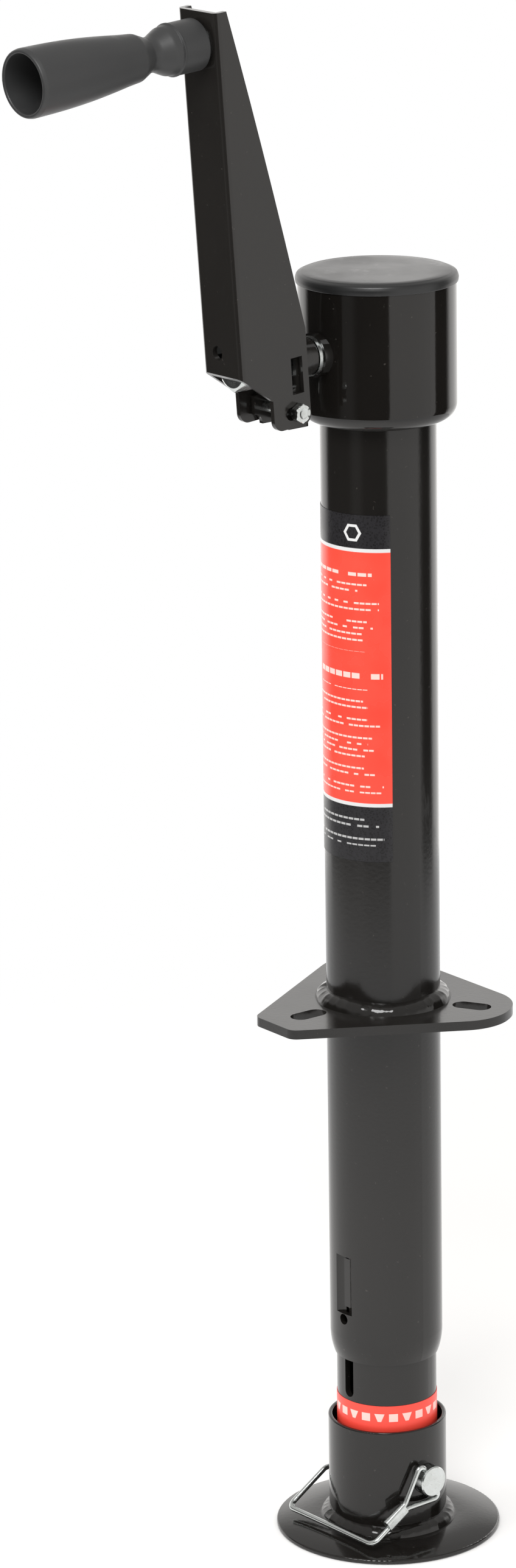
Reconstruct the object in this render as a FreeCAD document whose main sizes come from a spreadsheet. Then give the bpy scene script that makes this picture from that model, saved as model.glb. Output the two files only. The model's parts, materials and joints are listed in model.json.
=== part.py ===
import FreeCAD, Part

import math
import os
import re

import Sketcher
from FreeCAD import Placement, Rotation, Vector

# Tongue jack stand: a sidewind trailer jack with a folding crank and a pinned foot.
# Origin: centre of the foot's underside, on the tube axis. +Z up, crank towards -Y,
# head of the foot's lock pin towards +X. Millimetres and degrees.

SIZES = {
    # how far a cutting tool stands past what it cuts
    "overcut": 2,
    # outer tube with its pressed-in key
    "tube_radius": 28.575,
    "tube_bore": 25.7,
    "tube_bottom": 95.4,
    "tube_top": 586,
    "tube_lip_radius": 26.5,
    "tube_lip_height": 12,
    "key_bottom": 124,
    "key_top": 150,
    "key_half_width": 2.5,
    "key_reach": 23.4,
    "dent_bottom": 121,
    "dent_top": 152,
    "dent_radius": 8,
    "dent_floor": 25.6,
    "drain_radius": 2.8,
    "drain_height": 118,
    # gear housing and its cap
    "drum_radius": 38.9,
    "drum_wall": 2.6,
    "drum_bottom": 581.2,
    "drum_corner": 8,
    "drum_top": 648.9,
    "cap_radius": 39.85,
    "cap_thickness": 5.9,
    "cap_edge": 3.4,
    "cap_skirt_depth": 6.2,
    "cap_skirt_wall": 2.2,
    "cap_gap": 0.1,
    "cap_floor": 1.4,
    # bearing seat and thrust bearing
    "seat_bottom": 580,
    "race_thickness": 2,
    "race_bore": 9,
    "race_radius": 19,
    "ball_radius": 2.5,
    "ball_circle": 14,
    "ball_gap": 0.1,
    "cage_inner": 10.6,
    "cage_outer": 17.4,
    "cage_thickness": 1.6,
    "collar_thickness": 6,
    "collar_radius": 17,
    "collar_pin_height": 567.8,
    # mounting plate
    "plate_top": 284.3,
    "plate_thickness": 4.76,
    "plate_side": 47.5,
    "plate_tip": 69.5,
    "plate_turn": -2.6,
    "plate_corner": 6,
    "plate_round_tip": 67.2,
    "plate_round": 26,
    "bolt_circle": 47.5,
    "bolt_slot_half_width": 5.25,
    "bolt_slot_half_length": 10,
    "weld_leg": 6.3,
    "weld_throat": 9,
    # label
    "label_bottom": 363,
    "label_top": 538.6,
    "label_thickness": 0.25,
    "label_angle": 120,
    # inner tube (ram)
    "ram_radius": 25.4,
    "ram_bore": 22.2,
    "ram_top": 535,
    "slot_half_width": 3.1,
    "slot_bottom": 75,
    "slot_top": 509,
    "nut_length": 21,
    "nut_bore": 9.85,
    "nut_drop": 2,
    "band_bottom": 50,
    "band_top": 73,
    "band_thickness": 0.25,
    # foot
    "foot_radius": 57.3,
    "foot_edge": 2.4,
    "foot_top": 4.6,
    "foot_dome": 101,
    "foot_recess": 1.6,
    "foot_rim_inner": 49,
    "foot_rim_slope": 1.5,
    "foot_rounding": 0.8,
    "socket_radius": 30.15,
    "socket_bore": 28,
    "socket_top": 60.2,
    "socket_rounding": 0.7,
    "foot_weld_leg": 5.4,
    "foot_weld_throat": 8.6,
    # lock pin and its wire bail
    "pin_height": 32.5,
    "pin_radius": 6.35,
    "pin_hole": 6.42,
    "ram_pin_hole": 6.72,
    "pin_head_radius": 8,
    "pin_head_face": 36.2,
    "pin_head_back": 30.5,
    "pin_tip": 37,
    "pin_chamfer": 1.2,
    "pin_head_edge": 0.6,
    "wire_radius": 1.4,
    "wire_gap": 0.1,
    "bail_tilt": 30.6,
    "bail_hinge": 33.3,
    "bail_reach": 46,
    "bail_far": 33.2,
    "bail_corner": 4.2,
    "bail_strand": 12.8,
    "bail_strand_bend": 2.5,
    "strands_meet": 19.5,
    "strand_curve": 6,
    "strand_gap": 0.02,
    "bail_rise": 8.4,
    "bail_step_start": 17,
    "bail_step_end": 6,
    "bail_step_curve": 5,
    "bail_overrun": 8,
    "ferrule_start": 20.5,
    "ferrule_end": 34,
    "ferrule_wall": 0.7,
    "ferrule_corner": 1.9,
    # crank shaft line
    "shaft_height": 618,
    "shaft_radius": 7.94,
    "shaft_rear": 44.4,
    "shaft_shoulder": 74,
    "shaft_tip": 92,
    "shaft_chamfer": 1.2,
    "drive_flats": 19.05,
    "drive_face": 8.6,
    "drive_bevel": 1.4,
    "boss_radius": 10.8,
    "boss_face": 42.2,
    "boss_rear": 39.9,
    "bush_bore": 8,
    "bush_radius": 9,
    "bush_flange": 9.8,
    "bush_inner": 35,
    "bush_seat": 42.3,
    "bush_rear_seat": 40,
    "bush_front_face": 44.7,
    "bush_rear_face": 41.6,
    "ring_groove": 6.9,
    "ring_radius": 10.2,
    "ring_thickness": 1.1,
    "ring_clearance": 0.2,
    "ring_gap": 7,
    "sleeve_radius": 9.2,
    "sleeve_gap": 0.4,
    "yoke_face": 52.6,
    "yoke_sheet": 2.4,
    "yoke_half_width": 11,
    "yoke_top": 11.5,
    "yoke_bottom": 31.2,
    "yoke_ear_top": 12,
    "yoke_end": 71,
    "yoke_corner": 5,
    "yoke_bend": 2.4,
    "yoke_tongue": 8.6,
    "yoke_shoulder": 4.5,
    "yoke_tab_start": 57.5,
    "yoke_tab_end": 61,
    "yoke_tab_foot": 2.5,
    # crank arm, measured from its pivot
    "pivot_out": 63,
    "pivot_height": 595.5,
    "pivot_radius": 3.2,
    "pivot_hole": 3.26,
    "pivot_slot": 3.8,
    "bolt_flats": 8.4,
    "bolt_head": 4.2,
    "bolt_gap": 0.3,
    "nut_height": 5.2,
    "bolt_overhang": 1.2,
    "arm_tilt": 4,
    "arm_width": 28.4,
    "arm_sheet": 2.6,
    "arm_face": 33.3,
    "arm_top": 199.3,
    "arm_foot": 23.2,
    "arm_ear_front": 14.6,
    "arm_ear_bottom": 7,
    "arm_ear_back": 8.2,
    "arm_notch": 8.5,
    "arm_bend_start": 40,
    "arm_lip": 6.8,
    "arm_rear_curve": 3500,
    "arm_bend": 3.2,
    "arm_ear_corner": 5,
    "window_low": 9,
    "window_high": 27,
    "window_back": 4.8,
    "window_front": 2.2,
    "web_hole": 3.5,
    "web_hole_rise": 34,
    "web_hole_side": 2.3,
    # grip and its spindle
    "grip_rise": 183.9,
    "grip_start": 35.4,
    "grip_end": 137.3,
    "grip_collar": 12.5,
    "grip_collar_end": 50.5,
    "grip_step": 11.8,
    "grip_step_bevel": 0.6,
    "grip_step_end": 54.5,
    "grip_neck": 8.4,
    "grip_neck_place": 63.5,
    "grip_shoulder": 11.6,
    "grip_shoulder_place": 74.5,
    "grip_body_curve": 420,
    "grip_mouth": 16.6,
    "grip_lip": 1.2,
    "grip_lip_curve": 3.6,
    "grip_play": 0.4,
    "grip_hollow": 14.1,
    "grip_hollow_root": 9.4,
    "grip_hollow_start": 79.5,
    "spindle_radius": 4.5,
    "spindle_bore": 4.58,
    "spindle_head": 8,
    "spindle_head_length": 4,
    "spindle_end": 85.5,
    "spacer_radius": 9,
    "retainer_radius": 8.2,
    "retainer_thickness": 2,
    # lead screw
    "screw_radius": 9.5,
    "screw_bottom": 150,
    "screw_pitch": 5.08,
    "thread_depth": 2,
    "thread_flank": 0.6,
    "thread_low": 156,
    "journal_radius": 7.5,
    "screw_top": 604,
    "seat_bore": 8.2,
    # bevel gears: the two axes meet at the shaft height
    "gear_module": 2.5,
    "face_share": 0.7615,
    "tooth_add": 2.5,
    "tooth_root": 3,
    "tooth_backlash": 0.35,
    "tooth_sink": 0.25,
    "gear_dish": 1.5,
    "hub_radius": 13,
    "washer_thickness": 1,
    "washer_bore": 8,
    "gear_back": 596,
    "gear_back_rim": 1,
    "gear_web": 601,
    "pinion_hub": 11,
    "pinion_hub_start": 13,
    "pinion_hub_end": 21.5,
    "pinion_back": 33.6,
    "pinion_pin_place": 17.25,
    "gear_pin_height": 591.5,
    "cross_pin": 2,
}

PINION_TEETH = 12
GEAR_TEETH = 24
BALLS = 12
PLATE_SLOTS = 3
HEXAGON = 6
PRESSURE_ANGLE = 20
# Heights on a tooth's flank: below 0 a share of its root, above 0 a share of its addendum.
FLANK_SHARES = (-1, -0.2, 0, 0.45, 1)
# A blank reaches this share past its teeth at both ends.
BLANK_SPARE = 0.015

# Heights down the thrust bearing, from its seat.
BALL_CENTRE = "seat_bottom - race_thickness - ball_gap - ball_radius"
UNDER_BALLS = f"{BALL_CENTRE} - ball_radius - ball_gap"
COLLAR_TOP = f"{UNDER_BALLS} - race_thickness"
COLLAR_BOTTOM = f"{COLLAR_TOP} - collar_thickness"
# Places of the retaining ring's groove on the shaft's own axis.
RING_HIGH = "-bush_rear_face - ring_clearance"
RING_LOW = f"{RING_HIGH} - ring_thickness"

doc = FreeCAD.newDocument("tongue_jack_stand")
sheet = doc.addObject("Spreadsheet::Sheet", "Dims")
for row, (alias, value) in enumerate(SIZES.items(), start=1):
    sheet.set(f"A{row}", alias)
    sheet.set(f"B{row}", str(value))
    sheet.setAlias(f"B{row}", alias)
calculator = doc.addObject("Spreadsheet::Sheet", "Calculator")
doc.recompute()

parts = []


def formula(text):
    """The sheet formula for a size written with bare aliases."""
    return re.sub(r"[a-z_]{4,}", lambda m: f"Dims.{m[0]}" if m[0] in SIZES else m[0], str(text))


def number(text):
    """The value in millimetres or degrees that a size formula has now."""
    calculator.set("A1", f"={formula(text)}")
    calculator.recompute()
    return float(calculator.get("A1"))


def bind(thing, prop, text):
    thing.setExpression(prop, formula(text))


def keep(thing, name):
    """Marks an object as the sub-part called name."""
    thing.Label = name
    parts.append(thing)
    return thing


def origin_of(body, role):
    """The body's origin plane or axis with that role, such as XY_Plane or Z_Axis."""
    return next(f for f in body.Origin.OriginFeatures if f.Role == role)


def new_body(name):
    return keep(doc.addObject("PartDesign::Body", name), name)


def new_sketch(body, plane, name):
    sketch = body.newObject("Sketcher::SketchObject", f"{body.Name}_{name}")
    sketch.AttachmentSupport = (origin_of(body, plane), [""])
    sketch.MapMode = "FlatFace"
    return sketch


def lift(sketch, text):
    """Moves a sketch along the normal of its plane."""
    sketch.AttachmentOffset = Placement(Vector(0, 0, number(text)), Rotation())
    bind(sketch, ".AttachmentOffset.Base.z", text)


def hold(sketch, kind, element, point, text):
    """Fixes one coordinate of a sketch point to a size formula."""
    at = sketch.addConstraint(Sketcher.Constraint(kind, -1, 1, element, point, number(text)))
    bind(sketch, f"Constraints[{at}]", text)


def arc_middle(start, end, radius):
    """The middle of the arc from start to end; a positive radius turns left."""
    chord = end - start
    half = chord.Length / 2
    rise = abs(radius) - math.sqrt(max(radius * radius - half * half, 0))
    side = Vector(chord.y, -chord.x, 0).normalize()
    return (start + end) / 2 + side * math.copysign(rise, radius)


def draw_outline(body, plane, corners, name="outline"):
    """A closed sketch. A corner is (x, y), or (x, y, radius) where an arc leaves it."""
    sketch = new_sketch(body, plane, name)
    spots = [Vector(number(c[0]), number(c[1]), 0) for c in corners]
    ends = []
    for i, corner in enumerate(corners):
        start, end = spots[i], spots[(i + 1) % len(spots)]
        if len(corner) == 2:
            sketch.addGeometry(Part.LineSegment(start, end))
            ends.append((1, 2))
            continue
        radius = number(corner[2])
        sketch.addGeometry(Part.Arc(start, arc_middle(start, end, radius), end))
        ends.append((1, 2) if radius > 0 else (2, 1))
    for i, corner in enumerate(corners):
        after = (i + 1) % len(corners)
        sketch.addConstraint(Sketcher.Constraint("Coincident", i, ends[i][1], after, ends[after][0]))
        if len(corner) == 3:
            at = sketch.addConstraint(Sketcher.Constraint("Radius", i, abs(number(corner[2]))))
            bind(sketch, f"Constraints[{at}]", f"abs({corner[2]})")
        hold(sketch, "DistanceX", i, ends[i][0], corner[0])
        hold(sketch, "DistanceY", i, ends[i][0], corner[1])
    return sketch


def draw_circle(body, plane, x, y, radius, name="circle"):
    sketch = new_sketch(body, plane, name)
    centre = Vector(number(x), number(y), 0)
    sketch.addGeometry(Part.Circle(centre, Vector(0, 0, 1), number(radius)))
    at = sketch.addConstraint(Sketcher.Constraint("Radius", 0, number(radius)))
    bind(sketch, f"Constraints[{at}]", radius)
    hold(sketch, "DistanceX", 0, 3, x)
    hold(sketch, "DistanceY", 0, 3, y)
    return sketch


def draw_slot(body, plane, start, end, radius, name="slot"):
    """A slot upright in the sketch, with round ends about two points given as formulas."""
    sketch = new_sketch(body, plane, name)
    x = number(start[0])
    low, high, wide = number(start[1]), number(end[1]), number(radius)
    up = Vector(0, 0, 1)
    circles = [Part.Circle(Vector(x, y, 0), up, wide) for y in (low, high)]
    sketch.addGeometry(Part.ArcOfCircle(circles[0], math.pi, 2 * math.pi))
    sketch.addGeometry(Part.LineSegment(Vector(x + wide, low, 0), Vector(x + wide, high, 0)))
    sketch.addGeometry(Part.ArcOfCircle(circles[1], 0, math.pi))
    sketch.addGeometry(Part.LineSegment(Vector(x - wide, high, 0), Vector(x - wide, low, 0)))
    for one, other in ((0, 1), (1, 2), (2, 3), (3, 0)):
        sketch.addConstraint(Sketcher.Constraint("Tangent", one, 2, other, 1))
    at = sketch.addConstraint(Sketcher.Constraint("Radius", 0, wide))
    bind(sketch, f"Constraints[{at}]", radius)
    for element, place in ((0, start), (2, end)):
        hold(sketch, "DistanceX", element, 3, place[0])
        hold(sketch, "DistanceY", element, 3, place[1])
    return sketch


def feature(body, kind, sketch, name):
    made = body.newObject(f"PartDesign::{kind}", f"{body.Name}_{name}")
    made.Profile = sketch
    return made


def turn(body, corners, name="turned", kind="Revolution"):
    """Adds or cuts the solid that (radius, height) corners sweep about the body's Z axis."""
    sketch = draw_outline(body, "XZ_Plane", corners, f"{name}_outline")
    made = feature(body, kind, sketch, name)
    made.ReferenceAxis = (sketch, ["V_Axis"])
    made.Angle = 360
    return made


def turned(name, corners):
    body = new_body(name)
    turn(body, corners)
    return body


def ring(name, inner, outer, low, high):
    return turned(name, [(inner, low), (outer, low), (outer, high), (inner, high)])


def pad(body, sketch, length, name="pad", both=False, back=False):
    made = feature(body, "Pad", sketch, name)
    bind(made, "Length", length)
    made.Midplane = both
    made.Reversed = back
    return made


def cut(body, sketch, name="cut", length=None, both=True, back=False):
    """Cuts the sketch through, or to a length; checks that it took something away."""
    doc.recompute()
    before = body.Shape.Volume
    made = feature(body, "Pocket", sketch, name)
    if length is None:
        made.Type = "ThroughAll"
    else:
        bind(made, "Length", length)
    made.Midplane = both
    made.Reversed = back
    doc.recompute()
    assert body.Shape.Volume < before - 1e-3, f"{body.Label}: {name} cuts nothing"
    return made


def round_edges(body, radius, wanted, name="rounding"):
    """Fillets the edges of the body's tip that wanted() picks."""
    doc.recompute()
    base = body.Tip
    edges = base.Shape.Edges
    picked = [f"Edge{i}" for i, edge in enumerate(edges, start=1) if wanted(edge)]
    assert picked, f"{body.Label}: no edge to round"
    made = body.newObject("PartDesign::Fillet", f"{body.Name}_{name}")
    made.Base = (base, picked)
    bind(made, "Radius", radius)
    doc.recompute()
    return made


def repeat_around(body, one, count):
    """Repeats a feature evenly about the body's Z axis."""
    around = body.newObject("PartDesign::PolarPattern", f"{body.Name}_pattern")
    around.Originals = [one]
    around.Axis = (origin_of(body, "Z_Axis"), [""])
    around.Occurrences = count
    body.Tip = around


def along_shaft(thing):
    """Lays a part on the crank's axis: its own Z points out along -Y, its own Y up."""
    thing.Placement = Placement(Vector(0, 0, number("shaft_height")), Rotation(Vector(1, 0, 0), 90))
    bind(thing, ".Placement.Base.z", "shaft_height")
    return thing


def on_arm(thing, rise="0"):
    """Lays a part in the arm's frame: own Z out of the web, own Y up the arm from the pivot."""
    tilt = math.radians(number("arm_tilt"))
    out = number("pivot_out") + number(rise) * math.sin(tilt)
    up = number("pivot_height") + number(rise) * math.cos(tilt)
    thing.Placement = Placement(Vector(0, -out, up), Rotation(Vector(1, 0, 0), 90 + number("arm_tilt")))
    bind(thing, ".Placement.Base.y", f"-pivot_out - ({rise}) * sin(arm_tilt * 1deg)")
    bind(thing, ".Placement.Base.z", f"pivot_height + ({rise}) * cos(arm_tilt * 1deg)")
    bind(thing, ".Placement.Rotation.Angle", "90 + arm_tilt")
    return thing


def cylinder(radius, low, high, name):
    """An upright Part::Cylinder between two heights."""
    made = doc.addObject("Part::Cylinder", name)
    bind(made, "Radius", radius)
    bind(made, "Height", f"({high}) - ({low})")
    made.Placement.Base.z = number(low)
    bind(made, ".Placement.Base.z", low)
    return made


def boolean(kind, base, tool, name):
    made = doc.addObject(f"Part::{kind}", name)
    made.Base = base
    made.Tool = tool
    return made


# ---- outer tube, housing and what is fixed to them ----

def make_outer_tube():
    body = turned("outer_tube", [
        ("tube_bore", "tube_bottom"),
        ("tube_lip_radius", "tube_bottom", "tube_lip_height * 3"),
        ("tube_radius", "tube_bottom + tube_lip_height"),
        ("tube_radius", "tube_top"),
        ("tube_bore", "tube_top"),
    ])
    dent = draw_outline(body, "XY_Plane", [
        ("-dent_radius", "-tube_radius - dent_radius"),
        ("dent_radius", "-tube_radius - dent_radius"),
        ("dent_radius", "-dent_floor - dent_radius", "dent_radius"),
        ("0", "-dent_floor", "dent_radius"),
        ("-dent_radius", "-dent_floor - dent_radius"),
    ], "dent")
    lift(dent, "dent_bottom")
    cut(body, dent, "dent_cut", "dent_top - dent_bottom", both=False, back=True)
    key = draw_outline(body, "XZ_Plane", [
        ("-key_half_width", "key_bottom"),
        ("key_half_width", "key_bottom"),
        ("key_half_width", "key_top"),
        ("-key_half_width", "key_top"),
    ], "key")
    lift(key, "key_reach")
    pad(body, key, "(dent_floor + tube_bore) / 2 + 0.25 - key_reach", "key_pad")
    drain = draw_circle(body, "XZ_Plane", "0", "drain_height", "drain_radius", "drain")
    cut(body, drain, "drain_cut", "tube_radius + overcut", both=False, back=True)
    return body


def make_gear_housing():
    """Drum round the tube's top, with a boss on each side for the crank shaft's bushes."""
    inner = "drum_radius - drum_wall"
    body = turned("gear_housing", [
        ("tube_radius", "drum_bottom"),
        ("drum_radius - drum_corner", "drum_bottom", "drum_corner"),
        ("drum_radius", "drum_bottom + drum_corner"),
        ("drum_radius", "drum_top"),
        (inner, "drum_top"),
        (inner, "drum_bottom + drum_corner", "-(drum_corner - drum_wall)"),
        ("drum_radius - drum_corner", "drum_bottom + drum_wall"),
        ("tube_radius", "drum_bottom + drum_wall"),
    ])
    boss = draw_circle(body, "XZ_Plane", "0", "shaft_height", "boss_radius", "boss")
    lift(boss, "-boss_rear")
    pad(body, boss, "boss_rear + boss_face", "boss_pad")
    low, high = (f"shaft_height {sign} (boss_radius + overcut)" for sign in "-+")
    turn(body, [("0", low), (inner, low), (inner, high), ("0", high)], "cavity", "Groove")
    bore = draw_circle(body, "XZ_Plane", "0", "shaft_height", "bush_radius", "bore")
    cut(body, bore, "bore_cut")


def make_housing_cap():
    skirt = "drum_radius - drum_wall - cap_gap"
    return turned("housing_cap", [
        ("0", "drum_top + cap_floor"),
        (f"{skirt} - cap_skirt_wall", "drum_top + cap_floor"),
        (f"{skirt} - cap_skirt_wall", "drum_top - cap_skirt_depth"),
        (skirt, "drum_top - cap_skirt_depth"),
        (skirt, "drum_top"),
        ("cap_radius", "drum_top"),
        ("cap_radius", "drum_top + cap_thickness - cap_edge", "cap_edge"),
        ("cap_radius - cap_edge", "drum_top + cap_thickness"),
        ("0", "drum_top + cap_thickness"),
    ])


def make_bearing_parts():
    ring("bearing_seat", "seat_bore", "tube_bore", "seat_bottom", "tube_top")
    ring("upper_race", "race_bore", "race_radius", "seat_bottom - race_thickness", "seat_bottom")
    make_bearing_balls()
    make_ball_cage()
    ring("lower_race", "journal_radius", "race_radius", COLLAR_TOP, UNDER_BALLS)
    collar = ring("screw_collar", "journal_radius", "collar_radius", COLLAR_BOTTOM, COLLAR_TOP)
    cross_hole(collar, "YZ_Plane", "0", "collar_pin_height")


def ball_spot(i):
    angle = 2 * math.pi * i / BALLS
    return Vector(math.cos(angle), math.sin(angle), 0) * number("ball_circle")


def make_bearing_balls():
    balls = []
    for i in range(BALLS):
        ball = doc.addObject("Part::Sphere", f"ball_{i}")
        bind(ball, "Radius", "ball_radius")
        ball.Placement.Base = ball_spot(i) + Vector(0, 0, number(BALL_CENTRE))
        balls.append(ball)
    group = keep(doc.addObject("Part::Compound", "bearing_balls"), "bearing_balls")
    group.Links = balls


def make_ball_cage():
    low, high = (f"{BALL_CENTRE} {side} cage_thickness / 2" for side in "-+")
    body = ring("ball_cage", "cage_inner", "cage_outer", low, high)
    pocket = draw_circle(body, "XY_Plane", "ball_circle", "0", "ball_radius + ball_gap", "pocket")
    one = cut(body, pocket, "pocket_cut")
    repeat_around(body, one, BALLS)


def cross_hole(body, plane, x, y, radius="cross_pin"):
    cut(body, draw_circle(body, plane, x, y, radius, "cross"), "cross_cut")


def make_bush(name, seat, face, back):
    """A flanged bush in the housing wall; back turns it to the rear wall."""
    body = turned(name, [
        ("bush_bore", "bush_inner"),
        ("bush_radius", "bush_inner"),
        ("bush_radius", seat),
        ("bush_flange", seat),
        ("bush_flange", face),
        ("bush_bore", face),
    ])
    along_shaft(body)
    if back:
        body.Placement = Placement(Vector(0, 0, number("shaft_height")), Rotation(Vector(1, 0, 0), -90))


def make_mount_plate():
    """Triangle, blunt toward the crank and round behind, turned a little off the crank's line."""
    body = new_body("mount_plate")
    body.Placement = Placement(Vector(), Rotation(Vector(0, 0, 1), number("plate_turn")))
    corners = []
    for i in range(PLATE_SLOTS):
        angle = -90 + i * 360 / PLATE_SLOTS
        tip = "plate_round_tip" if i else "plate_tip"
        half_tip = f"(2 * plate_side - {tip}) * tan(30)"
        for side in (-1, 1):
            x = f"{tip} * cos({angle}) - {side} * {half_tip} * sin({angle})"
            y = f"{tip} * sin({angle}) + {side} * {half_tip} * cos({angle})"
            corners.append((x, y))
    outline = draw_outline(body, "XY_Plane", corners)
    lift(outline, "plate_top - plate_thickness")
    pad(body, outline, "plate_thickness")
    round_edges(body, "plate_round", lambda e: upright(e) and e.Vertexes[0].Point.y > 0)
    round_edges(body, "plate_corner", lambda e: upright(e) and e.Vertexes[0].Point.y < 0, "blunt")
    bore = draw_circle(body, "XY_Plane", "0", "0", "tube_radius", "bore")
    cut(body, bore, "bore_cut")
    reach = "bolt_slot_half_length - bolt_slot_half_width"
    start, end = ("0", f"-bolt_circle - ({reach})"), ("0", f"-bolt_circle + {reach}")
    slot = draw_slot(body, "XY_Plane", start, end, "bolt_slot_half_width")
    one = cut(body, slot, "slot_cut")
    repeat_around(body, one, PLATE_SLOTS)


def upright(edge):
    if len(edge.Vertexes) != 2:
        return False
    first, last = (v.Point for v in edge.Vertexes)
    return abs(first.x - last.x) < 1e-6 and abs(first.y - last.y) < 1e-6


def make_plate_weld():
    turned("plate_weld", [
        ("tube_radius", "plate_top"),
        ("tube_radius + weld_leg", "plate_top", "weld_throat"),
        ("tube_radius", "plate_top + weld_leg"),
    ])


def make_side_label():
    """A printed sticker wrapped around the crank side of the tube."""
    outer = cylinder("tube_radius + label_thickness", "label_bottom", "label_top", "label_outer")
    inner = cylinder("tube_radius", "label_bottom - overcut", "label_top + overcut", "label_inner")
    bind(outer, "Angle", "label_angle")
    label = keep(boolean("Cut", outer, inner, "side_label"), "side_label")
    label.Placement = Placement(Vector(), Rotation(Vector(0, 0, 1), -90 - number("label_angle") / 2))


# ---- crank shaft line ----

def make_crank_shaft():
    """Round bar with a larger drive hexagon on its outer end and a ring groove behind."""
    body = along_shaft(turned("crank_shaft", [
        ("0", "-shaft_rear"),
        ("shaft_radius - shaft_chamfer", "-shaft_rear"),
        ("shaft_radius", "-shaft_rear + shaft_chamfer"),
        ("shaft_radius", RING_LOW),
        ("ring_groove", RING_LOW),
        ("ring_groove", RING_HIGH),
        ("shaft_radius", RING_HIGH),
        ("shaft_radius", "shaft_shoulder"),
        ("drive_flats / sqrt(3)", "shaft_shoulder"),
        ("drive_flats / sqrt(3)", "shaft_tip - drive_bevel"),
        ("drive_face", "shaft_tip"),
        ("0", "shaft_tip"),
    ]))
    cross_hole(body, "YZ_Plane", "0", "pinion_pin_place")
    flat = draw_outline(body, "XY_Plane", [
        ("drive_flats / 2", "-drive_flats"),
        ("drive_flats", "-drive_flats"),
        ("drive_flats", "drive_flats"),
        ("drive_flats / 2", "drive_flats"),
    ], "flat")
    lift(flat, "shaft_shoulder")
    one = cut(body, flat, "flat_cut", "shaft_tip", both=False, back=True)
    repeat_around(body, one, HEXAGON)


def make_retaining_ring():
    body = along_shaft(ring("retaining_ring", "ring_groove", "ring_radius", RING_LOW, RING_HIGH))
    gap = draw_outline(body, "XY_Plane", [
        ("-ring_gap / 2", "0"),
        ("-ring_gap / 2", "-ring_radius - overcut"),
        ("ring_gap / 2", "-ring_radius - overcut"),
        ("ring_gap / 2", "0"),
    ], "gap")
    cut(body, gap, "gap_cut")


def make_cross_pin(name, half_length, out, height):
    """A plain pin through a hub, along X, so far out along -Y and so high."""
    pin = keep(doc.addObject("Part::Cylinder", name), name)
    bind(pin, "Radius", "cross_pin")
    bind(pin, "Height", f"2 * ({half_length})")
    pin.Placement = Placement(Vector(), Rotation(Vector(0, 1, 0), 90))
    for axis, place in (("x", f"-({half_length})"), ("y", f"-({out})"), ("z", height)):
        bind(pin, f".Placement.Base.{axis}", place)


def make_yoke_sleeve():
    inner_end = "bush_front_face + sleeve_gap"
    along_shaft(ring("yoke_sleeve", "shaft_radius", "sleeve_radius", inner_end, "yoke_face"))


def make_yoke_bracket():
    """Folded bracket on the shaft: a face plate and two ears that carry the arm's pivot.

    Above its shoulders the face plate is a narrow tongue round the shaft, and each ear
    stands up beside the shaft as a tab.
    """
    body = along_shaft(new_body("yoke_bracket"))
    side = draw_outline(body, "YZ_Plane", [
        ("-yoke_bottom", "yoke_face"),
        ("yoke_top", "yoke_face"),
        ("yoke_top", "yoke_tab_end"),
        ("-yoke_ear_top + yoke_tab_foot", "yoke_tab_end", "-yoke_tab_foot"),
        ("-yoke_ear_top", "yoke_tab_end + yoke_tab_foot"),
        ("-yoke_ear_top", "yoke_end - yoke_corner", "-yoke_corner"),
        ("-yoke_ear_top - yoke_corner", "yoke_end"),
        ("-yoke_bottom + yoke_corner", "yoke_end", "-yoke_corner"),
        ("-yoke_bottom", "yoke_end - yoke_corner"),
    ], "side")
    pad(body, side, "2 * yoke_half_width", both=True)
    inside = draw_outline(body, "YZ_Plane", [
        ("-yoke_bottom - overcut", "yoke_face + yoke_sheet"),
        ("yoke_top + overcut", "yoke_face + yoke_sheet"),
        ("yoke_top + overcut", "yoke_end + overcut"),
        ("-yoke_bottom - overcut", "yoke_end + overcut"),
    ], "inside")
    cut(body, inside, "inside_cut", "2 * yoke_half_width - 2 * yoke_sheet")
    round_edges(body, "yoke_bend", on_yoke_bend, "bend")
    for side_name, sign in (("left", "-"), ("right", "")):
        relief = draw_outline(body, "XY_Plane", [
            (f"{sign}yoke_tongue", "-yoke_shoulder"),
            (f"{sign}(yoke_half_width + overcut)", "-yoke_shoulder"),
            (f"{sign}(yoke_half_width + overcut)", "yoke_top + overcut"),
            (f"{sign}yoke_tongue", "yoke_top + overcut"),
        ], f"{side_name}_relief")
        cut(body, relief, f"{side_name}_relief_cut", "yoke_tab_start", both=False, back=True)
    cut(body, draw_circle(body, "XY_Plane", "0", "0", "shaft_radius", "bore"), "bore_cut")
    drop = "pivot_height - shaft_height"
    cut(body, draw_circle(body, "YZ_Plane", drop, "pivot_out", "pivot_radius", "pivot"), "pivot_cut")


def on_yoke_bend(edge):
    """True for the two long edges where the yoke's ears fold from its face plate."""
    middle = edge.BoundBox.Center
    at_face = abs(middle.z - number("yoke_face")) < 0.01
    at_side = abs(abs(middle.x) - number("yoke_half_width")) < 0.01
    return at_face and at_side and edge.BoundBox.YLength > 1


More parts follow.
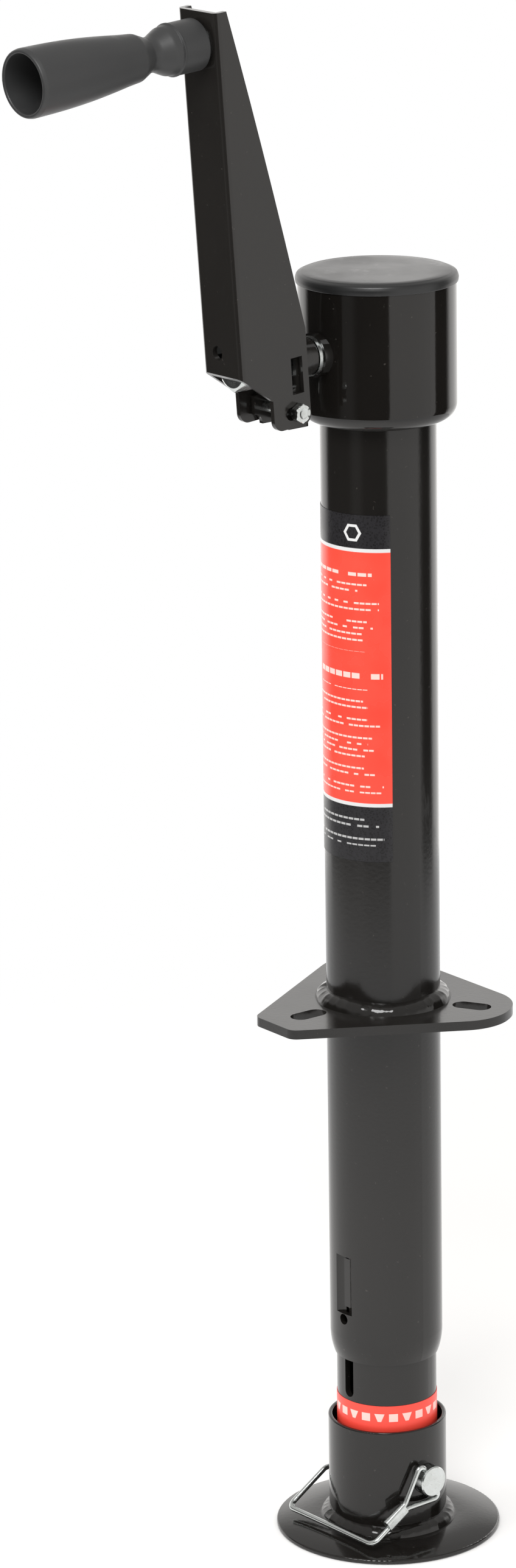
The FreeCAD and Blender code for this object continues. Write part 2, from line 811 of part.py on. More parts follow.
def make_pivot_bolt():
    """Hexagon-headed pivot bolt along X, head on the +X side, with a nut."""
    reach = "arm_width / 2 + bolt_gap"
    shank = doc.addObject("Part::Cylinder", "bolt_shank")
    bind(shank, "Radius", "pivot_radius")
    bind(shank, "Height", f"2 * ({reach}) + nut_height + bolt_overhang")
    shank.Placement.Base.z = -number(f"{reach} + nut_height + bolt_overhang")
    head = doc.addObject("Part::Prism", "bolt_head_hex")
    head.Polygon = HEXAGON
    bind(head, "Circumradius", "bolt_flats / sqrt(3)")
    bind(head, "Height", "bolt_head")
    head.Placement.Base.z = number(reach)
    bolt = keep(boolean("Fuse", shank, head, "pivot_bolt"), "pivot_bolt")
    block = doc.addObject("Part::Prism", "nut_hex")
    block.Polygon = HEXAGON
    bind(block, "Circumradius", "bolt_flats / sqrt(3)")
    bind(block, "Height", "nut_height")
    block.Placement.Base.z = -number(f"{reach} + nut_height")
    low, high = f"-({reach}) - nut_height - overcut", f"-({reach}) + overcut"
    thread = cylinder("pivot_radius", low, high, "nut_thread")
    nut = keep(boolean("Cut", block, thread, "pivot_nut"), "pivot_nut")
    for thing in (bolt, nut):
        place = Vector(0, -number("pivot_out"), number("pivot_height"))
        thing.Placement = Placement(place, Rotation(Vector(0, 1, 0), 90))
        bind(thing, ".Placement.Base.y", "-pivot_out")
        bind(thing, ".Placement.Base.z", "pivot_height")


# ---- crank arm and grip ----

def make_crank_arm():
    """Tapered channel: a flat web facing out and two flanges that widen to the pivot ears."""
    body = on_arm(new_body("crank_arm"))
    flange = draw_outline(body, "YZ_Plane", [
        ("-arm_ear_bottom + arm_ear_corner", "-arm_ear_back"),
        ("arm_bend_start", "-arm_ear_back", "arm_rear_curve"),
        ("arm_top", "arm_face - arm_lip"),
        ("arm_top", "arm_face"),
        ("arm_foot", "arm_face"),
        ("arm_notch", "arm_ear_front"),
        ("-arm_ear_bottom + arm_ear_corner", "arm_ear_front", "arm_ear_corner"),
        ("-arm_ear_bottom", "arm_ear_front - arm_ear_corner"),
        ("-arm_ear_bottom", "-arm_ear_back + arm_ear_corner", "arm_ear_corner"),
    ], "flange")
    pad(body, flange, "arm_width", both=True)
    inside = draw_outline(body, "YZ_Plane", [
        ("-arm_ear_bottom - overcut", "-arm_ear_back - overcut"),
        ("arm_top + overcut", "-arm_ear_back - overcut"),
        ("arm_top + overcut", "arm_face - arm_sheet"),
        ("-arm_ear_bottom - overcut", "arm_face - arm_sheet"),
    ], "inside")
    cut(body, inside, "inside_cut", "arm_width - 2 * arm_sheet")
    round_edges(body, "arm_bend", on_outer_bend, "outer_bend")
    window = draw_outline(body, "YZ_Plane", [
        ("window_low", "-window_back"),
        ("window_high", "-window_back"),
        ("window_high", "window_front"),
        ("window_low", "window_front"),
    ], "window")
    cut(body, window, "window_cut")
    cut(body, draw_slot(body, "YZ_Plane", ("0", "0"), ("0", "pivot_slot"), "pivot_hole"), "pivot_cut")
    spindle = draw_circle(body, "XY_Plane", "0", "grip_rise", "spindle_radius", "spindle")
    cut(body, spindle, "spindle_cut")
    eye = draw_circle(body, "XY_Plane", "-web_hole_side", "web_hole_rise", "web_hole", "eye")
    cut(body, eye, "eye_cut")


def on_outer_bend(edge):
    """True for the two long outer edges of the crank arm's web."""
    middle = edge.BoundBox.Center
    out_here = abs(middle.z - number("arm_face")) < 0.01
    at_side = abs(abs(middle.x) - number("arm_width") / 2) < 0.01
    return out_here and at_side and edge.Length > number("arm_top") / 2


def make_grip_parts():
    """Everything on the grip's own axis, which stands square to the arm's web."""
    inner_face = "arm_face - arm_sheet"
    on_arm(turned("grip_spindle", [
        ("0", f"{inner_face} - spindle_head_length"),
        ("spindle_head", f"{inner_face} - spindle_head_length"),
        ("spindle_head", inner_face),
        ("spindle_radius", inner_face),
        ("spindle_radius", "spindle_end"),
        ("0", "spindle_end"),
    ]), "grip_rise")
    spacer_end = "grip_start - grip_play"
    on_arm(ring("grip_spacer", "spindle_radius", "spacer_radius", "arm_face", spacer_end), "grip_rise")
    low = "grip_hollow_start + grip_play"
    high = f"{low} + retainer_thickness"
    on_arm(ring("grip_retainer", "spindle_radius", "retainer_radius", low, high), "grip_rise")
    on_arm(turned("grip", [
        ("spindle_bore", "grip_start"),
        ("grip_collar", "grip_start"),
        ("grip_collar", "grip_collar_end"),
        ("grip_step", "grip_collar_end + grip_step_bevel", "grip_step_end"),
        ("grip_neck", "grip_neck_place", "-grip_neck_place / 4"),
        ("grip_shoulder", "grip_shoulder_place", "grip_body_curve"),
        ("grip_mouth", "grip_end - grip_lip_curve", "grip_lip_curve"),
        ("grip_mouth - grip_lip", "grip_end"),
        ("grip_hollow", "grip_end"),
        ("grip_hollow_root", "grip_hollow_start"),
        ("spindle_bore", "grip_hollow_start"),
    ]), "grip_rise")


# ---- lead screw and gears ----

def make_lead_screw():
    """Screw with ring grooves at the thread's pitch, a plain journal and cross holes."""
    body = turned("lead_screw", [
        ("0", "screw_bottom"),
        ("screw_radius - thread_depth", "screw_bottom"),
        ("screw_radius", "screw_bottom + thread_depth"),
        ("screw_radius", COLLAR_BOTTOM),
        ("journal_radius", COLLAR_BOTTOM),
        ("journal_radius", "screw_top"),
        ("0", "screw_top"),
    ])
    doc.recompute()
    groove = turn(body, [
        ("screw_radius + overcut", "thread_low"),
        ("screw_radius + overcut", "thread_low + screw_pitch / 2"),
        ("screw_radius", "thread_low + screw_pitch / 2"),
        ("screw_radius - thread_depth", "thread_low + screw_pitch / 2 - thread_flank"),
        ("screw_radius - thread_depth", "thread_low + thread_flank"),
        ("screw_radius", "thread_low"),
    ], "groove", "Groove")
    count = int(number(f"({COLLAR_BOTTOM} - thread_low) / screw_pitch"))
    along = body.newObject("PartDesign::LinearPattern", "lead_screw_pattern")
    along.Originals = [groove]
    along.Direction = (origin_of(body, "Z_Axis"), [""])
    bind(along, "Length", f"screw_pitch * {count - 1}")
    along.Occurrences = count
    body.Tip = along
    doc.recompute()
    cross_hole(body, "YZ_Plane", "0", "gear_pin_height")
    hole = draw_circle(body, "YZ_Plane", "0", "collar_pin_height", "cross_pin", "collar_cross")
    cut(body, hole, "collar_cross_cut")


def flank_points(cone, cone_end):
    """Half of one tooth at the big end, as (height over the pitch cone, half width).

    The teeth are involute on the back cone, where they are as a spur gear's would be."""
    pressure = math.radians(PRESSURE_ANGLE)
    pitch = cone_end / math.tan(math.pi / 2 - cone)
    base = pitch * math.cos(pressure)
    half_pitch_width = math.pi * number("gear_module") / 4 - number("tooth_backlash") / 2
    spread = half_pitch_width / pitch + math.tan(pressure) - pressure
    points = []
    for share in FLANK_SHARES:
        height = share * number("tooth_add" if share > 0 else "tooth_root")
        radius = max(pitch + height, base)
        turn_by = math.acos(min(base / radius, 1))
        half_angle = spread - (math.tan(turn_by) - turn_by)
        points.append((height, (pitch + height) * math.sin(half_angle)))
    return points


def bevel_teeth(teeth, cone, first_angle):
    """The teeth of a straight bevel gear about Z with its apex at the origin, opening down."""
    pitch_radius = number("gear_module") * teeth / 2
    flank = flank_points(cone, pitch_radius / math.sin(cone))
    outline = flank + [(height, -width) for height, width in reversed(flank)]
    solids = []
    for i in range(teeth):
        swing = Rotation(Vector(0, 0, 1), first_angle + 360 * i / teeth)
        spots = []
        for height, width in outline:
            radius = pitch_radius + height * math.cos(cone)
            depth = -pitch_radius / math.tan(cone) + height * math.sin(cone)
            spots.append(swing.multVec(Vector(radius, width, depth)))
        small_end = [spot * number("face_share") for spot in spots]
        solids.append(prism_between(spots, small_end))
    return solids


def prism_between(near, far):
    """The flat-sided solid between two outlines with the same number of corners."""
    count = len(near)
    loops = [near, far]
    for i in range(count):
        after = (i + 1) % count
        loops.append([near[i], near[after], far[after], far[i]])
    faces = [Part.Face(Part.makePolygon(loop + loop[:1])) for loop in loops]
    solid = Part.Solid(Part.Shell(faces))
    if solid.Volume < 0:
        solid.reverse()
    return solid


def root_cone(teeth, cone):
    """(radius, height) of the blank's big and small end, just above the tooth roots."""
    pitch_radius = number("gear_module") * teeth / 2
    down = number("tooth_root") - number("tooth_sink")
    radius = pitch_radius - down * math.cos(cone)
    height = -pitch_radius / math.tan(cone) - down * math.sin(cone)
    big, small = 1 + BLANK_SPARE, number("face_share") - BLANK_SPARE
    return (radius * big, height * big), (radius * small, height * small)


def make_gear(name, blank, teeth, bore, pin_height):
    """A bevel gear: a turned blank, its teeth, a bore and a cross hole, about its own Z."""
    profile = Part.Face(Part.makePolygon([Vector(r, 0, z) for r, z in blank + blank[:1]]))
    gear = profile.revolve(Vector(), Vector(0, 0, 1), 360).fuse(teeth).removeSplitter()
    reach = number("drum_radius")
    gear = gear.cut(Part.makeCylinder(number(bore), 2 * reach, Vector(0, 0, -reach)))
    hole = Part.makeCylinder(number("cross_pin"), 2 * reach, Vector(-reach, 0, pin_height), Vector(1, 0, 0))
    made = keep(doc.addObject("Part::Feature", name), name)
    made.Shape = gear.cut(hole)
    return made


def make_driven_gear():
    """The large gear on the screw, teeth up; its cone's apex is where the two axes meet."""
    cone = math.atan2(GEAR_TEETH, PINION_TEETH)
    shaft, hub = number("shaft_height"), number("hub_radius")
    low, high = number("tube_top + washer_thickness") - shaft, number("screw_top") - shaft
    back, web = number("gear_back") - shaft, number("gear_web") - shaft
    big_end, small_end = root_cone(GEAR_TEETH, cone)
    rim, dish = big_end[0] + number("gear_back_rim"), small_end[0] - number("gear_dish")
    blank = [(0, low), (hub, low), (hub, back), (rim, back), big_end, small_end,
             (dish, web), (hub, web), (hub, high), (0, high)]
    half_tooth = 180 / GEAR_TEETH
    teeth = bevel_teeth(GEAR_TEETH, cone, half_tooth - 90)
    gear = make_gear("driven_gear", blank, teeth, "journal_radius", number("gear_pin_height") - shaft)
    gear.Placement = Placement(Vector(0, 0, shaft), Rotation())
    ring("gear_washer", "washer_bore", "hub_radius", "tube_top", "tube_top + washer_thickness")


def make_drive_pinion():
    """The small gear on the crank shaft, a tooth pointing straight down."""
    cone = math.atan2(PINION_TEETH, GEAR_TEETH)
    hub, start, end = number("pinion_hub"), -number("pinion_hub_start"), -number("pinion_hub_end")
    back = -number("pinion_back")
    big_end, small_end = root_cone(PINION_TEETH, cone)
    blank = [(0, start), (hub, start), (hub, end), (small_end[0], end), small_end, big_end,
             (big_end[0] - number("gear_back_rim"), back), (0, back)]
    teeth = bevel_teeth(PINION_TEETH, cone, 90)
    pinion = make_gear("drive_pinion", blank, teeth, "shaft_radius", -number("pinion_pin_place"))
    pinion.Placement = Placement(Vector(0, 0, number("shaft_height")), Rotation(Vector(1, 0, 0), -90))


# ---- ram, foot and lock pin ----

def make_inner_tube():
    body = ring("inner_tube", "ram_bore", "ram_radius", "foot_top", "ram_top")
    slot = draw_slot(body, "XZ_Plane", ("0", "slot_bottom + slot_half_width"),
                     ("0", "slot_top - slot_half_width"), "slot_half_width")
    cut(body, slot, "slot_cut", "ram_radius + overcut", both=False, back=True)
    cross_hole(body, "YZ_Plane", "0", "pin_height", "ram_pin_hole")


def make_foot():
    turned("foot_plate", [
        ("0", "foot_recess"),
        ("foot_rim_inner", "foot_recess"),
        ("foot_rim_inner + foot_rim_slope", "0"),
        ("foot_radius - foot_rounding", "0", "foot_rounding"),
        ("foot_radius", "foot_rounding"),
        ("foot_radius", "foot_edge - foot_rounding", "foot_rounding"),
        ("foot_radius - foot_rounding", "foot_edge", "foot_dome"),
        ("socket_radius + foot_weld_leg", "foot_top"),
        ("0", "foot_top"),
    ])
    socket = ring("foot_socket", "socket_bore", "socket_radius", "foot_top", "socket_top")
    cross_hole(socket, "YZ_Plane", "0", "pin_height", "pin_hole")
    round_edges(socket, "socket_rounding", at_socket_top)
    turned("foot_weld", [
        ("socket_radius", "foot_top"),
        ("socket_radius + foot_weld_leg", "foot_top", "foot_weld_throat"),
        ("socket_radius", "foot_top + foot_weld_leg"),
    ])
    ring("lead_nut", "nut_bore", "ram_bore", "ram_top - nut_drop - nut_length", "ram_top - nut_drop")
    ring("limit_band", "ram_radius", "ram_radius + band_thickness", "band_bottom", "band_top")


def at_socket_top(edge):
    return abs(edge.BoundBox.ZMin - number("socket_top")) < 0.01


def make_lock_pin():
    """The foot's cross pin along X, with a cross-drilled head for the wire bail."""
    blank = doc.addObject("PartDesign::Body", "lock_pin_blank")
    turn(blank, [
        ("0", "-pin_tip"),
        ("pin_radius - pin_chamfer", "-pin_tip"),
        ("pin_radius", "-pin_tip + pin_chamfer"),
        ("pin_radius", "pin_head_back"),
        ("pin_head_radius", "pin_head_back"),
        ("pin_head_radius", "pin_head_face - pin_head_edge"),
        ("pin_head_radius - pin_head_edge", "pin_head_face"),
        ("0", "pin_head_face"),
    ])
    blank.Placement = Placement(Vector(0, 0, number("pin_height")), Rotation(Vector(0, 1, 0), 90))
    bind(blank, ".Placement.Base.z", "pin_height")
    hole = doc.addObject("Part::Cylinder", "bail_hole")
    bind(hole, "Radius", "wire_radius + wire_gap")
    bind(hole, "Height", "2 * (pin_head_radius + overcut)")
    start = Vector(0, 0, -number("pin_head_radius + overcut"))
    hole.Placement = bail_frame() * Placement(start, Rotation())
    keep(boolean("Cut", blank, hole, "lock_pin"), "lock_pin")


def bail_frame():
    """Origin on the bail's hinge, local Y out along the bail, local Z up through the head."""
    hinge = Vector(number("bail_hinge"), 0, number("pin_height"))
    return Placement(hinge, Rotation(Vector(1, 0, 0), 180 + number("bail_tilt")))


def rounded_path(points, radii):
    """A wire of straight runs joined by tangent arcs, one radius for each inner point."""
    edges, start = [], points[0]
    for i, radius in enumerate(radii, start=1):
        here, there = points[i - 1] - points[i], points[i + 1] - points[i]
        here.normalize()
        there.normalize()
        half = here.getAngle(there) / 2
        reach = radius / math.tan(half)
        first, last = points[i] + here * reach, points[i] + there * reach
        middle = (here + there).normalize()
        apex = points[i] + middle * (radius / math.sin(half) - radius)
        edges.append(Part.LineSegment(start, first).toShape())
        edges.append(Part.Arc(first, apex, last).toShape())
        start = last
    edges.append(Part.LineSegment(start, points[-1]).toShape())
    return Part.Wire(edges)


def make_bail_wire():
    """Spring wire from the ferrule, through the pin's head and round to the pin's tip."""
    reach, far = number("bail_reach"), number("-bail_hinge - bail_far")
    strand, bend, corner = number("bail_strand"), number("bail_strand_bend"), number("bail_corner")
    near, curve = number("strands_meet"), number("strand_curve")
    rise, step_curve = number("bail_rise"), number("bail_step_curve")
    half_gap = number("wire_radius + strand_gap")
    points = [
        Vector(0, number("ferrule_end"), -half_gap),
        Vector(0, near, -half_gap),
        Vector(0, 0, -strand),
        Vector(0, 0, strand),
        Vector(0, near, half_gap),
        Vector(0, reach, half_gap),
        Vector(far, reach, half_gap),
        Vector(far, number("bail_step_start"), half_gap),
        Vector(far, number("bail_step_end"), rise),
        Vector(far, -number("bail_overrun"), rise),
    ]
    path = rounded_path(points, [curve, bend, bend, curve, corner, corner, step_curve, step_curve])
    end_ring = Part.Circle(points[0], Vector(0, 1, 0), number("wire_radius"))
    made = keep(doc.addObject("Part::Feature", "bail_wire"), "bail_wire")
    made.Shape = path.makePipeShell([Part.Wire(end_ring.toShape())], True, True)
    made.Placement = bail_frame()
    return made


def make_bail_ferrule(wire):
    """The crimped sleeve that closes the wire's loop."""
    half_width = number("wire_radius + ferrule_wall")
    half_height = number("2 * wire_radius + ferrule_wall")
    box = doc.addObject("Part::Box", "ferrule_block")
    bind(box, "Width", "ferrule_end - ferrule_start")
    bind(box, "Length", "2 * (wire_radius + ferrule_wall)")
    bind(box, "Height", "2 * (2 * wire_radius + ferrule_wall)")
    corner = Vector(-half_width, number("ferrule_start"), -half_height)
    box.Placement = bail_frame() * Placement(corner, Rotation())
    doc.recompute()
    rounded = doc.addObject("Part::Fillet", "ferrule_rounded")
    rounded.Base = box
    radius = number("ferrule_corner")
    long_way = box.Placement.Rotation.multVec(Vector(0, 1, 0))
    rounded.Edges = [
        (i, radius, radius)
        for i, edge in enumerate(box.Shape.Edges, start=1)
        if abs(edge.tangentAt(0).dot(long_way)) > 0.99
    ]
    keep(boolean("Cut", rounded, wire, "bail_ferrule"), "bail_ferrule")


def check_and_write():
    doc.recompute()
    for thing in doc.Objects:
        assert not {"Invalid", "Error"} & set(thing.State), f"{thing.Label} failed: {thing.State}"
    os.makedirs("parts", exist_ok=True)
    for thing in parts:
        shape = thing.Shape
        assert not shape.isNull() and shape.isValid() and shape.Solids, f"{thing.Label} has no valid solid"
        shape.exportStep(f"parts/{thing.Label}.step")
        box = shape.BoundBox
        print(f"{thing.Label}: {len(shape.Solids)} solid, {shape.Volume:.0f} mm3, "
              f"z {box.ZMin:.1f} to {box.ZMax:.1f}")


make_outer_tube()
make_gear_housing()
make_housing_cap()
make_bearing_parts()
make_bush("front_bush", "bush_seat", "bush_front_face", back=False)
make_bush("rear_bush", "bush_rear_seat", "bush_rear_face", back=True)
make_mount_plate()
make_plate_weld()
make_side_label()
make_crank_shaft()
make_retaining_ring()
make_cross_pin("pinion_pin", "pinion_hub", "pinion_pin_place", "shaft_height")
make_yoke_sleeve()
make_yoke_bracket()
make_pivot_bolt()
make_crank_arm()
make_grip_parts()
make_lead_screw()
make_driven_gear()
make_drive_pinion()
make_cross_pin("gear_pin", "hub_radius", "0", "gear_pin_height")
make_cross_pin("collar_pin", "collar_radius", "0", "collar_pin_height")
make_inner_tube()
make_foot()
make_lock_pin()
make_bail_ferrule(make_bail_wire())
check_and_write()
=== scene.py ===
import json
import math

import bmesh
import bpy
from mathutils import Matrix, Vector


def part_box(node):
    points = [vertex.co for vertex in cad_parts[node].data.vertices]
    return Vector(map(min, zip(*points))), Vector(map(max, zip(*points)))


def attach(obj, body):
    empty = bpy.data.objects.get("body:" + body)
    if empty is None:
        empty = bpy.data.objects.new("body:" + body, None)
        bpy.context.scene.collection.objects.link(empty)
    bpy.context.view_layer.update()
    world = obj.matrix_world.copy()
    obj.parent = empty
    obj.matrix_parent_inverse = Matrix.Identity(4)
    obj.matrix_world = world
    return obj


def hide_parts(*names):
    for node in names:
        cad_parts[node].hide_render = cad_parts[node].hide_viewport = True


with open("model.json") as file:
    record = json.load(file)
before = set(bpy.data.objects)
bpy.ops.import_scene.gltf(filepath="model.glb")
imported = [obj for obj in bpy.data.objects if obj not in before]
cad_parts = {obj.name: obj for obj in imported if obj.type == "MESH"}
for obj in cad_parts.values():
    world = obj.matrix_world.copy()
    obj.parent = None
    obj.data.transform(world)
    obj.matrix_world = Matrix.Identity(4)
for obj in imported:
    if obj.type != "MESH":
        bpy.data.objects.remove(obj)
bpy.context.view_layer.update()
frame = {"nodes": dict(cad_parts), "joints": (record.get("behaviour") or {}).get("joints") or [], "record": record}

# Lengths here are in millimetres, and MM turns them into the frame's metres.
MM = 0.001

# The camera: where it stands about the tube's axis, and how it is turned.
CAMERA_AZIMUTH = 49.2
CAMERA_DISTANCE = 2.8021
CAMERA_HEIGHT = 1.2064
CAMERA_YAW = -1.254
CAMERA_PITCH = 16.138
CAMERA_ROLL = -0.872
CAMERA_LENS = 134.8

# The tubes that the two weld beads run round.
OUTER_TUBE_RADIUS = 28.575
SOCKET_RADIUS = 30.15

nodes_of = frame["nodes"]
joint_of = {joint["name"]: joint for joint in frame["joints"]}
slot_of = {part["node"]: part["material_slot"] for part in frame["record"]["subparts"]}


# ---- shader helpers ----

class Shader:
    """A material's or world's nodes, with one short call for each kind."""

    def __init__(self, owner):
        owner.use_nodes = True
        self.tree = owner.node_tree
        self.tree.nodes.clear()

    def add(self, kind, **values):
        node = self.tree.nodes.new(kind)
        for name, value in values.items():
            setattr(node, name, value)
        return node

    def link(self, source, target):
        self.tree.links.new(source, target)

    def put(self, value, socket):
        """Links an output socket, or sets a plain number or colour."""
        if isinstance(value, bpy.types.NodeSocket):
            self.link(value, socket)
        else:
            socket.default_value = value

    def math(self, operation, first, second=0.0):
        node = self.add("ShaderNodeMath", operation=operation)
        self.put(first, node.inputs[0])
        self.put(second, node.inputs[1])
        return node.outputs[0]

    def ramp(self, value, low, high, start=0.0, end=1.0):
        """start below low, end above high, and a smooth step between."""
        node = self.add("ShaderNodeMapRange", interpolation_type="SMOOTHSTEP")
        for value_in, socket in zip((value, low, high, start, end), node.inputs):
            self.put(value_in, socket)
        return node.outputs[0]

    def band(self, value, low, high, soft):
        """1 between low and high, 0 outside, with soft edges."""
        rise = self.ramp(value, low - soft, low + soft)
        fall = self.ramp(value, high - soft, high + soft, 1.0, 0.0)
        return self.math("MULTIPLY", rise, fall)

    def mix(self, share, first, second):
        node = self.add("ShaderNodeMix", data_type="RGBA")
        self.put(share, node.inputs[0])
        self.put(first, node.inputs[6])
        self.put(second, node.inputs[7])
        return node.outputs[2]

    def position(self):
        return self.add("ShaderNodeTexCoord").outputs["Object"]

    def noise(self, place, scale, detail=3.0, roughness=0.5, stretch=None):
        """Noise with features about 1 / scale metres across."""
        if stretch:
            mapping = self.add("ShaderNodeMapping")
            self.link(place, mapping.inputs["Vector"])
            mapping.inputs["Scale"].default_value = stretch
            place = mapping.outputs[0]
        node = self.add("ShaderNodeTexNoise")
        self.link(place, node.inputs["Vector"])
        node.inputs["Scale"].default_value = scale
        node.inputs["Detail"].default_value = detail
        node.inputs["Roughness"].default_value = roughness
        return node.outputs["Fac"]

    def bump(self, height, distance, strength=1.0):
        node = self.add("ShaderNodeBump")
        node.inputs["Distance"].default_value = distance
        node.inputs["Strength"].default_value = strength
        self.link(height, node.inputs["Height"])
        return node.outputs["Normal"]


def rgb(red, green, blue):
    """A colour from 0 to 255 display values, as the shader's linear numbers."""
    def linear(value):
        value /= 255
        return value / 12.92 if value <= 0.04045 else ((value + 0.055) / 1.055) ** 2.4
    return (linear(red), linear(green), linear(blue), 1.0)


def surface(base, colour, roughness, normal=None, **fixed):
    """Ends a material in a Principled shader; fixed values go on its own sockets."""
    material, shader = base
    out = shader.add("ShaderNodeOutputMaterial")
    principled = shader.add("ShaderNodeBsdfPrincipled")
    shader.put(colour, principled.inputs["Base Color"])
    shader.put(roughness, principled.inputs["Roughness"])
    if normal is not None:
        shader.link(normal, principled.inputs["Normal"])
    for socket, value in fixed.items():
        principled.inputs[socket.replace("_", " ")].default_value = value
    shader.link(principled.outputs[0], out.inputs["Surface"])
    return material


def new_material(name):
    material = bpy.data.materials.new(name)
    return material, Shader(material)


# ---- materials ----

def paint(name, gloss, tone=20, peel=0.00004):
    """Black powder coat: orange peel, cloudy gloss, dust and fine scuffs."""
    base = new_material(name)
    shader = base[1]
    place = shader.position()
    cloud = shader.noise(place, 14, 4)
    scuff = shader.ramp(shader.noise(place, 90, 6, 0.7, (1, 1, 0.25)), 0.62, 0.74)
    dust = shader.ramp(shader.noise(place, 420, 2, 0.6), 0.7, 0.78)
    dark = rgb(tone, tone - 1, tone - 2)
    light = rgb(tone + 9, tone + 7, tone + 5)
    colour = shader.mix(cloud, dark, light)
    colour = shader.mix(shader.math("MULTIPLY", dust, 0.10), colour, rgb(150, 145, 138))
    rough = shader.ramp(cloud, 0.3, 0.75, gloss * 0.85, gloss * 1.2)
    rough = shader.math("ADD", rough, shader.math("MULTIPLY", scuff, 0.10))
    normal = shader.bump(shader.noise(place, 520, 2, 0.4), peel, 0.5)
    return surface(base, colour, rough, normal, Specular_IOR_Level=0.5)


def zinc(name, tone, gloss):
    """Bright zinc plate: slight clouding, a fine grain bump and dull spots."""
    base = new_material(name)
    shader = base[1]
    place = shader.position()
    cloud = shader.noise(place, 160, 4, 0.6)
    dull = shader.ramp(shader.noise(place, 700, 3, 0.6), 0.55, 0.75)
    colour = shader.mix(cloud, rgb(tone, tone + 3, tone + 4), rgb(tone - 34, tone - 30, tone - 34))
    colour = shader.mix(shader.math("MULTIPLY", dull, 0.25), colour, rgb(150, 152, 140))
    rough = shader.math("ADD", shader.ramp(cloud, 0.3, 0.7, gloss, gloss + 0.12),
                        shader.math("MULTIPLY", dull, 0.12))
    normal = shader.bump(shader.noise(place, 1500, 2, 0.5), 0.00003, 0.5)
    return surface(base, colour, rough, normal, Metallic=1.0)


def brass(name):
    base = new_material(name)
    shader = base[1]
    place = shader.position()
    cloud = shader.noise(place, 120, 4, 0.6)
    colour = shader.mix(cloud, rgb(196, 160, 92), rgb(140, 106, 56))
    rough = shader.ramp(cloud, 0.3, 0.7, 0.25, 0.42)
    normal = shader.bump(shader.noise(place, 900, 2), 0.00003, 0.4)
    return surface(base, colour, rough, normal, Metallic=1.0)


def plastic(name, tone, gloss, grain_size, grain_depth):
    """Moulded plastic: fine spark grain, flow clouding and handling marks."""
    base = new_material(name)
    shader = base[1]
    place = shader.position()
    cloud = shader.noise(place, 22, 4, 0.55)
    rubbed = shader.ramp(shader.noise(place, 60, 5, 0.65), 0.58, 0.72)
    colour = shader.mix(cloud, rgb(tone, tone + 1, tone + 2), rgb(tone + 9, tone + 9, tone + 9))
    colour = shader.mix(shader.math("MULTIPLY", rubbed, 0.12), colour, rgb(tone + 50, tone + 49, tone + 47))
    rough = shader.math("SUBTRACT", shader.ramp(cloud, 0.3, 0.7, gloss - 0.04, gloss + 0.06),
                        shader.math("MULTIPLY", rubbed, 0.05))
    normal = shader.bump(shader.noise(place, 1 / grain_size, 2, 0.5), grain_depth, 0.6)
    return surface(base, colour, rough, normal, Specular_IOR_Level=0.5)


def around_tube(shader, radius):
    """(distance round the tube from its crank side, height), both in millimetres."""
    split = shader.add("ShaderNodeSeparateXYZ")
    shader.link(shader.position(), split.inputs[0])
    back = shader.math("MULTIPLY", split.outputs["Y"], -1.0)
    angle = shader.math("ARCTAN2", split.outputs["X"], back)
    across = shader.math("MULTIPLY", angle, radius)
    return across, shader.math("DIVIDE", split.outputs["Z"], MM)


def dashes(shader, across, height, pitch, thickness, word, seed):
    """Rows of broken bars that stand in for printed lines; they spell nothing."""
    row = shader.math("DIVIDE", height, pitch)
    index = shader.math("FLOOR", row)
    within = shader.math("FRACT", row)
    line = shader.band(within, 0.5 - thickness / 2, 0.5 + thickness / 2, 0.03)
    shift = shader.add("ShaderNodeTexWhiteNoise", noise_dimensions="1D")
    shader.link(shader.math("ADD", index, seed), shift.inputs["W"])
    along = shader.math("ADD", shader.math("DIVIDE", across, word), shift.outputs["Value"])
    cell = shader.math("FLOOR", along)
    pick = shader.add("ShaderNodeTexWhiteNoise", noise_dimensions="1D")
    shader.link(shader.math("ADD", cell, shader.math("MULTIPLY", index, 17.0)), pick.inputs["W"])
    shown = shader.math("GREATER_THAN", pick.outputs["Value"], 0.16)
    full = shader.math("GREATER_THAN", shader.math("FRACT", shader.math("MULTIPLY", index, 0.37)), 0.3)
    shown = shader.math("MULTIPLY", shown, full)
    gap = shader.band(shader.math("FRACT", along), 0.08, 0.92, 0.02)
    length = shader.math("MULTIPLY", shift.outputs["Value"], 14.0)
    inside = shader.math("LESS_THAN", across, shader.math("SUBTRACT", 27.0, length))
    mask = shader.math("MULTIPLY", line, shown)
    mask = shader.math("MULTIPLY", mask, gap)
    return shader.math("MULTIPLY", mask, inside)


def film(base, shader, colour, gloss):
    """A printed plastic film over the colour that is given."""
    place = shader.position()
    wave = shader.noise(place, 60, 3)
    rough = shader.ramp(wave, 0.3, 0.7, gloss, gloss + 0.1)
    normal = shader.bump(wave, 0.0001, 0.25)
    return surface(base, colour, rough, normal, Specular_IOR_Level=0.45)


